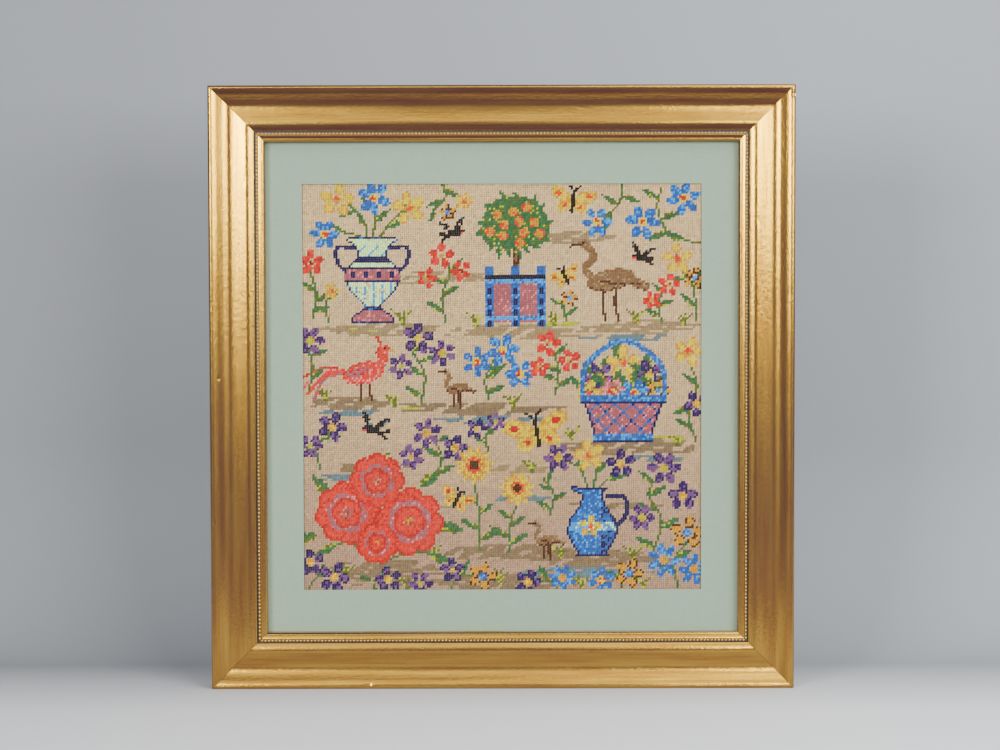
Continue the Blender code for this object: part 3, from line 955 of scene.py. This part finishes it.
def garden():
    """The whole design, from what lies furthest back to what stands in front."""
    for x, y, length, rows, yarn in ((36, 66, 84, 6, "oatmeal"), (104, 67, 96, 7, "oatmeal"),
            (160, 65, 70, 7, "oatmeal"), (66, 42, 70, 6, "oatmeal"), (130, 24, 50, 6, "oatmeal"),
            (26, 100, 64, 6, "taupe"), (84, 103, 90, 6, "taupe"), (152, 120, 90, 8, "taupe"),
            (100, 132, 60, 4, "oatmeal"), (30, 131, 44, 4, "taupe"), (36, 176, 90, 10, "taupe"),
            (96, 169, 90, 7, "taupe"), (142, 172, 90, 8, "taupe"), (90, 183, 130, 7, "taupe"),
            (150, 150, 60, 3, "taupe"), (56, 150, 60, 3, "oatmeal")):
        ground(x, y, length, rows, yarn)
    for x, y, length, rows in ((150, 72, 60, 3), (86, 109, 70, 4), (128, 180, 84, 5), (24, 106, 50, 3),
            (20, 136, 34, 3), (166, 128, 50, 3), (104, 146, 44, 3)):
        ground(x, y, length, rows, "slate")
    for x, y, length in ((120, 66, 30), (172, 119, 34), (56, 104, 26), (110, 170, 28), (30, 68, 30)):
        ground(x, y, length, 2, "lime")
    for x, y, height in ((48, 67, 8), (82, 68, 7), (118, 68, 8), (156, 67, 7), (178, 68, 6),
            (12, 102, 6), (44, 105, 7), (99, 106, 8), (126, 121, 7), (175, 124, 6), (62, 176, 7),
            (121, 176, 6), (155, 177, 8), (22, 184, 7), (93, 188, 8), (131, 190, 7), (38, 132, 6),
            (108, 136, 6), (160, 190, 6), (50, 190, 7)):
        tuft(x, y, height)

    # the urn and its bunch
    sprig([(32, 27), (30, 18), (22, 10)], [(0.3, 9, 120), (0.7, -8, 200)], [(18, 9, 8, "yellow", 10)])
    sprig([(34, 27), (36, 16), (34, 6)], [(0.4, 9, 40), (0.7, -8, 150)], [(35, 8, 8, "blue", 40)])
    sprig([(37, 27), (44, 18), (50, 14)], [(0.4, 9, 20), (0.8, 8, 60)], [(51, 13, 8, "yellow", 30)])
    sprig([(31, 27), (22, 24), (14, 25)], [(0.6, 8, 150)], [(12, 25, 7, "blue", 0)])
    urn(34, 26)
    orange_tree(100, 68)

    # the top right corner
    sprig([(186, 30), (172, 26), (166, 14), (168, 4)],
          [(0.2, 12, 160), (0.45, -11, 200), (0.6, 10, 20), (0.85, 9, 150)],
          [(178, 9, 8, "blue", 20), (159, 20, 8, "blue", 50)])
    sprig([(150, 2), (148, 12), (140, 18)], [(0.3, 9, -20), (0.5, 9, 150), (0.7, -10, 250)],
          [(138, 20, 7, "blue", 0)])
    butterfly(127, 10, 21, -8)
    wader(144, 65, 38, -1)
    swallow(158, 36, 14, -1)
    sprig([(184, 66), (182, 50), (176, 42)], [(0.3, 10, 140), (0.6, 9, 60), (0.8, -9, 190)],
          [(175, 37, 7, "yellow", 20), (183, 46, 5.5, "gold", 0)])
    sprig([(168, 67), (166, 58), (170, 50)], [(0.2, 9, 150), (0.5, -8, 20), (0.8, 7, 140)],
          [(171, 49, 5.5, "red", 10), (163, 56, 4.5, "red", 40)])

    # between the urn and the tree
    swallow(72, 24, 16, 1)
    sprig([(66, 0), (68, 8), (62, 14)], [(0.3, 9, -30), (0.6, -9, 200), (0.9, 8, 250)],
          [(77, 10, 4.5, "yellow", 0), (69, 15, 4, "gold", 20)])
    sprig([(68, 66), (66, 54), (70, 42), (66, 36)],
          [(0.2, 10, 150), (0.4, 10, 30), (0.6, -9, 160), (0.8, 8, 40)],
          [(66, 35, 6, "red", 10), (75, 42, 5, "red", 40), (59, 45, 5, "red", 0)])
    butterfly(123, 45, 14, 24, "yellow", "red")
    sprig([(124, 66), (122, 59), (125, 54)], [(0.3, 7, 30), (0.6, -7, 150)], [(125, 55, 4, "gold", 0)])
    sprig([(6, 64), (8, 52), (5, 42)], [(0.2, -9, 20), (0.4, 9, 30), (0.6, 9, 150)],
          [(6, 38, 6, "red", 20)])
    sprig([(14, 66), (12, 58), (15, 52)], [(0.4, 7, 150), (0.7, -7, 40)], [(15, 51, 4, "yellow", 0)])

    # the middle row
    pheasant(28, 101, 40, 1)
    sprig([(4, 98), (6, 86), (3, 74)], [(0.3, 9, 40), (0.7, -9, 20)], [(5, 74, 7, "purple", 0)])
    sprig([(56, 104), (58, 90), (52, 78), (56, 72)],
          [(0.15, 10, 150), (0.4, -9, 150), (0.6, 8, 20), (0.75, 9, 30)],
          [(55, 73, 7.5, "violet", 10), (66, 80, 6.5, "purple", 40), (47, 86, 6, "purple", 20)])
    sprig([(88, 102), (86, 92), (92, 80)], [(0.2, 9, 20), (0.45, -9, 30), (0.6, -9, 20)],
          [(94, 79, 8, "blue", 10), (82, 84, 7, "blue", 30), (102, 90, 7, "blue", 0)])
    wader(73, 105, 18, -1)
    sprig([(118, 100), (120, 88), (116, 78)],
          [(0.2, 10, 30), (0.35, 9, 160), (0.5, -9, 150), (0.8, 8, 40)],
          [(115, 76, 6, "red", 0), (125, 84, 5.5, "red", 30), (111, 87, 5, "red", 10)])
    butterfly(110, 117, 30, 12, "yellow", "red")
    sprig([(88, 126), (86, 119), (90, 113)], [(0.3, 7, 150), (0.6, -7, 30)],
          [(82, 115, 5, "violet", 0), (91, 112, 4.5, "purple", 30)])

    # the flower basket
    for x, y, reach, kind, turn in ((139, 92, 7.5, "purple", 0), (150, 85, 8, "yellow", 20),
            (162, 91, 7.5, "violet", 40), (145, 98, 6.5, "pink", 0), (155, 99, 7, "blue", 10),
            (166, 98, 6, "gold", 0), (134, 99, 6, "yellow", 0)):
        leaf(x, y, 11, 70 + turn * 2, 0.22, 1)
        leaf(x, y, 11, 140 - turn, 0.22, -1)
        bloom(x, y, reach, kind, turn)
    basket(150, 102, 19, 18)
    sprig([(184, 122), (180, 108), (184, 96), (180, 84)],
          [(0.2, 9, 150), (0.45, -9, 210), (0.7, 9, 140)],
          [(180, 80, 7, "yellow", 0), (184, 104, 6.5, "violet", 50)])

    # the lower left: peonies
    sprig([(38, 176), (24, 168), (12, 170)], [(0.3, 12, 150), (0.8, -12, 210), (0.6, 10, 100)])
    sprig([(40, 176), (56, 172), (66, 178)], [(0.4, 12, 20), (0.7, -12, -20)])
    for x, y, degrees, flip in ((14, 146, 130, 1), (56, 142, 40, 1), (64, 160, -10, -1),
            (8, 164, 200, 1)):
        leaf(x, y, 13, degrees, 0.22, flip)
    for x, y, reach, turn in ((22, 154, 15, 10), (51, 158, 16, 40), (36, 139, 13, 0), (36, 168, 10, 20)):
        peony(x, y, reach, turn)
    sprig([(10, 134), (8, 124), (14, 116)], [(0.3, 9, 140), (0.7, 9, 30)],
          [(15, 114, 7, "violet", 0), (5, 123, 6, "purple", 0)])
    sprig([(62, 140), (66, 128), (60, 118)], [(0.2, 10, 30), (0.5, -10, 150), (0.8, 8, 30)],
          [(59, 117, 7, "purple", 20), (72, 124, 6.5, "violet", 0), (52, 128, 6, "purple", 40)])
    swallow(34, 115, 17, -1)

    # the lower middle: tall flowers
    sunflower(84, 172, 40, 9, -3)
    sunflower(97, 173, 30, 8, 4)
    butterfly(73, 148, 16, -24, "yellow", "red")
    wader(115, 176, 18, -1)
    sprig([(116, 156), (118, 146), (113, 138)],
          [(0.2, 8, 150), (0.4, -8, 30), (0.65, 7, 160), (0.85, 7, 60)])

    # the lower right: the jug and what grows by it
    sprig([(134, 144), (130, 134), (122, 130)], [(0.4, 9, 110)], [(120, 129, 7, "purple", 0)])
    sprig([(136, 144), (138, 132), (134, 126)], [(0.4, 9, 50)], [(134, 128, 7.5, "yellow", 30)])
    sprig([(138, 144), (146, 136), (150, 130)], [(0.4, 9, 10)], [(149, 132, 7, "violet", 20)])
    jug(136, 143)
    sprig([(164, 174), (168, 158), (162, 146), (168, 136)],
          [(0.1, 11, 150), (0.3, 11, 30), (0.5, -10, 160), (0.7, 10, 30), (0.85, 9, 140)],
          [(169, 134, 8, "purple", 0), (178, 147, 7, "violet", 20), (159, 157, 6.5, "purple", 0)])
    sprig([(176, 190), (174, 178), (180, 168)], [(0.3, 10, 150), (0.6, 9, 30)],
          [(180, 164, 8, "gold", 10), (169, 177, 8, "aster", 0), (183, 181, 7.5, "aster", 30)])
    sprig([(150, 190), (148, 184), (152, 180)], [(0.5, 8, 160)],
          [(153, 183, 7, "gold", 0), (140, 186, 6.5, "blue", 20)])
    sprig([(4, 190), (8, 184), (16, 184)], [(0.5, 8, 60)],
          [(16, 184, 7.5, "violet", 0), (5, 177, 6.5, "violet", 20)])
    sprig([(36, 191), (34, 186), (40, 182)], [(0.4, 8, 150)],
          [(41, 185, 6.5, "violet", 30), (56, 187, 6, "purple", 0)])
    sprig([(70, 190), (74, 184), (82, 184)], [(0.5, 9, 60)],
          [(85, 184, 7, "gold", 0), (71, 181, 6, "violet", 20)])
    sprig([(120, 190), (116, 186), (108, 188)], [(0.5, 9, 120)],
          [(106, 187, 6.5, "violet", 0), (122, 185, 6.5, "aster", 20)])


def stitch_colours():
    """The colour of each worked stitch: its yarn's shades mixed at random, none quite alike."""
    shades = [[srgb(code)[:3] for code in YARNS[name]] for name in YARN_NAMES]
    colours = np.zeros((*chart.shape, 3))
    pick = hand.random(chart.shape)
    # the ground has soiled to a pinkish grey, most towards the bottom
    soil = np.interp(row, (0, 60, 110, 160, WORKED_UP), (0.0, 0.12, 0.35, 0.85, 1.0))
    soiled = 1 - soil[..., None] * np.array((0.4, 0.47, 0.33))
    for i, group in enumerate(shades):
        chosen = np.array(group)[(pick * len(group)).astype(int)]
        colours = np.where((chart == i)[..., None], chosen * soiled if i == 0 else chosen, colours)
    light = 1 + hand.normal(0, 0.065, chart.shape)
    # each row keeps a little of its own needleful's shade
    light = light * (1 + hand.normal(0, 0.018, (WORKED_UP, 1)))
    return colours * np.clip(light, 0.75, 1.25)[..., None]


# The needlework

# A stitch seen from the front, in stitches: along its slant, across it, and how high it stands
GRAIN = np.array([
    (-0.73, 0.0, 0.0),
    (-0.36, -0.465, 0.0),
    (0.36, -0.465, 0.0),
    (0.73, 0.0, 0.0),
    (0.36, 0.465, 0.0),
    (-0.36, 0.465, 0.0),
    (-0.28, 0.0, 1.0),
    (0.28, 0.0, 1.0),
])
GRAIN_FACES = np.array([(0, 1, 6), (1, 2, 7), (1, 7, 6), (2, 3, 7),
                        (3, 4, 7), (4, 5, 6), (4, 6, 7), (5, 0, 6)])
SLANT = math.radians(62)
# How deep a stitch's edge sinks into the canvas
STITCH_ROOT = 0.05


def build_stitches(wool):
    """The worked tent stitches, in bands of rows, each stitch a slanted grain of wool."""
    colours = stitch_colours()
    across = (np.arange(WORKED_ACROSS) + 0.5 - WORKED_ACROSS / 2) * STITCH
    down = (WORKED_UP / 2 - np.arange(WORKED_UP) - 0.5) * STITCH
    x, z = np.meshgrid(across, down)
    # the canvas has been pulled a little out of true
    x = x + 0.5 * np.sin(z / 61 + 0.8) + hand.normal(0, 0.05, x.shape)
    z = z + 0.6 * np.sin(x / 74) + hand.normal(0, 0.05, z.shape)
    slant = SLANT + hand.normal(0, 0.06, x.shape)
    long = STITCH * (1 + hand.normal(0, 0.05, x.shape))
    wide = STITCH * (1 + hand.normal(0, 0.07, x.shape))
    high = STITCH_HEIGHT * (1 + hand.normal(0, 0.08, x.shape)).clip(0.75, 1.2)
    grain_along = GRAIN[:, 0] * long[..., None]
    grain_across = GRAIN[:, 1] * wide[..., None]
    px = x[..., None] + grain_along * np.cos(slant)[..., None] - grain_across * np.sin(slant)[..., None]
    pz = z[..., None] + grain_along * np.sin(slant)[..., None] + grain_across * np.cos(slant)[..., None]
    py = CANVAS_FRONT + STITCH_ROOT - GRAIN[:, 2] * (high[..., None] + STITCH_ROOT)
    points = np.stack([px, py, pz + PANEL_HEIGHT / 2], -1) * MM
    bands = []
    for i, rows in enumerate(np.array_split(np.arange(WORKED_UP), BANDS)):
        part = points[rows].reshape(-1, 3)
        count = len(part) // len(GRAIN)
        faces = (GRAIN_FACES[None] + np.arange(count)[:, None, None] * len(GRAIN)).reshape(-1, 3)
        piece = make_piece(f"stitches_{i + 1}", part.tolist(), faces.tolist(), [wool])
        mesh = piece.data
        shade = np.concatenate([colours[rows], np.ones((len(rows), WORKED_ACROSS, 1))], -1)
        keep_values(mesh, "yarn", "FLOAT_COLOR", shade[:, :, None].repeat(len(GRAIN), 2))
        strand = hand.random((len(rows), WORKED_ACROSS, 1)).repeat(len(GRAIN), 2)
        ply = np.stack([grain_along[rows], grain_across[rows], strand], -1)
        keep_values(mesh, "ply", "FLOAT_VECTOR", ply)
        low, high_corner = part.min(0), part.max(0)
        flat = (part - low) / (high_corner - low)
        keep_map(mesh, flat[:, [0, 2]][corner_points(mesh)])
        mesh.shade_smooth()
        bands.append(piece)
    return bands


def build_canvas(cotton, bands):
    """The canvas that carries the stitches, a flat closed sheet a little uneven on its face."""
    across, up = CANVAS_ACROSS * STITCH, CANVAS_UP * STITCH
    xs, zs = np.linspace(-across / 2, across / 2, 81), np.linspace(-up / 2, up / 2, 83)
    x, z = np.meshgrid(xs, zs)
    inside = (np.abs(x) < across / 2 - 4) & (np.abs(z) < up / 2 - 4)
    front = CANVAS_FRONT + 0.03 * np.sin(x / 13) * np.sin(z / 17) * inside
    layers = [np.stack([x, y, z + PANEL_HEIGHT / 2], -1) for y in (front, np.full(x.shape, CANVAS_BACK))]
    points = np.concatenate([layer.reshape(-1, 3) for layer in layers]) * MM
    columns, rows = len(xs), len(zs)
    index = np.arange(columns * rows).reshape(rows, columns)
    quad = np.stack([index[:-1, :-1], index[:-1, 1:], index[1:, 1:], index[1:, :-1]], -1).reshape(-1, 4)
    edge = np.concatenate([index[0, :-1], index[:-1, -1], index[-1, :0:-1], index[:0:-1, 0]])
    behind = columns * rows
    faces = quad.tolist() + (quad[:, ::-1] + behind).tolist()
    faces += [(a, a + behind, b + behind, b) for a, b in zip(edge.tolist(), np.roll(edge, -1).tolist())]
    piece = make_piece("canvas", points.tolist(), faces, [cotton])
    piece.data.shade_smooth()
    piece.data.set_sharp_from_angle(angle=math.radians(40))
    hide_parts("needlework")
    return piece


# The studio

CAMERA_PLACE = Vector((-0.001, -2.2522, 0.3936))
CAMERA_LENS = 90.0
CAMERA_PITCH = math.radians(2.82)
CAMERA_YAW = math.radians(0.024)
CAMERA_ROLL = math.radians(-0.129)

# The background paper lies on a dark table and curves up behind: y, z in metres
SWEEP = ((-0.32, 0.0), (0.12, 0.0))
TABLE = ((-1.1, -0.004), (1.2, -0.004))
SWEEP_RADIUS = 0.2
SWEEP_STEPS = 24
SWEEP_TOP = 2.6
SWEEP_HALF_WIDTH = 2.4

# Softboxes: place, what they point at, width, height, power in watts
SOFTBOXES = {
    "softbox_left": ((-0.95, -1.78, 0.75), (0.0, 0.0, 0.5), 0.74, 0.58, 50.0),
    "softbox_right": ((0.96, -1.76, 0.75), (0.0, 0.0, 0.5), 1.12, 0.54, 47.0),
    "softbox_far_right": ((1.75, -1.09, 0.74), (0.0, 0.0, 0.5), 1.3, 0.6, 7.0),
    "softbox_above": ((0.45, -2.8, 2.32), (0.05, 0.0, 0.27), 3.6, 1.9, 46.0),
    "softbox_top": ((0.8, -0.35, 1.6), (0.35, -0.2, 0.0), 2.2, 0.9, 26.0),
}


def build_camera():
    data = bpy.data.cameras.new("camera")
    data.lens = CAMERA_LENS
    data.sensor_width = 36.0
    camera = bpy.data.objects.new("camera", data)
    turn = Euler((math.pi / 2 - CAMERA_PITCH, 0, CAMERA_YAW)).to_matrix()
    turn = turn @ Matrix.Rotation(CAMERA_ROLL, 3, "Z")
    camera.matrix_world = Matrix.Translation(CAMERA_PLACE) @ turn.to_4x4()
    bpy.context.scene.collection.objects.link(camera)
    bpy.context.scene.camera = camera


def build_sweep(paper, wood):
    """One sheet of background paper that lies on a table and curves up behind it."""
    profile = list(SWEEP)
    start_y = SWEEP[-1][0]
    for i in range(1, SWEEP_STEPS + 1):
        angle = math.pi / 2 * i / SWEEP_STEPS
        profile.append((start_y + SWEEP_RADIUS * math.sin(angle), SWEEP_RADIUS * (1 - math.cos(angle))))
    profile.append((start_y + SWEEP_RADIUS, SWEEP_TOP))
    for name, run, material in (("background_paper", profile, paper), ("table", TABLE, wood)):
        points = [(side * SWEEP_HALF_WIDTH, y, z) for y, z in run for side in (-1, 1)]
        faces = [(2 * i, 2 * i + 1, 2 * i + 3, 2 * i + 2) for i in range(len(run) - 1)]
        mesh = bpy.data.meshes.new(name)
        mesh.from_pydata(points, [], faces)
        mesh.materials.append(material)
        mesh.shade_smooth()
        stage = bpy.data.objects.new(name, mesh)
        bpy.context.scene.collection.objects.link(stage)


def build_lights():
    for name, (place, target, width, height, power) in SOFTBOXES.items():
        data = bpy.data.lights.new(name, "AREA")
        data.shape = "RECTANGLE"
        data.size = width
        data.size_y = height
        data.energy = power
        light = bpy.data.objects.new(name, data)
        light.location = place
        light.rotation_euler = (Vector(target) - Vector(place)).to_track_quat("-Z", "Y").to_euler()
        bpy.context.scene.collection.objects.link(light)
    world = bpy.data.worlds.new("studio")
    world.use_nodes = True
    fill(world.node_tree.nodes["Background"], {"Color": "#C8CDD6", "Strength": 0.3})
    bpy.context.scene.world = world


# Everything together

build_camera()
build_sweep(paper_with_painted_shade(), table_top())
build_lights()

# The pearls' crowns take a pale, less metallic colour, partly wear and partly a painted highlight; the
# rails' crests a lighter gold, partly wear and partly painted highlight
pearl_gilding = gilt_leaf("toned_gilt_pearls", 0.0, "#DCB062", 0.6)
rail_gilding = gilt_leaf("toned_gilt_leaf", 0.075, "#BE9C30", 0.0)
moulding_finishes = [rail_gilding, ochre_wash(), bare_pine(), pearl_gilding]
for side_name in SIDES:
    build_rail(side_name, moulding_finishes)
    build_pearls(side_name, pearl_gilding)

for node, finish in (("window_mount", mount_paper()), ("backing_board", hardboard())):
    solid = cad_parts[node]
    solid.data.materials.clear()
    solid.data.materials.append(finish)

garden()
build_canvas(cotton_canvas(), build_stitches(tapestry_wool()))
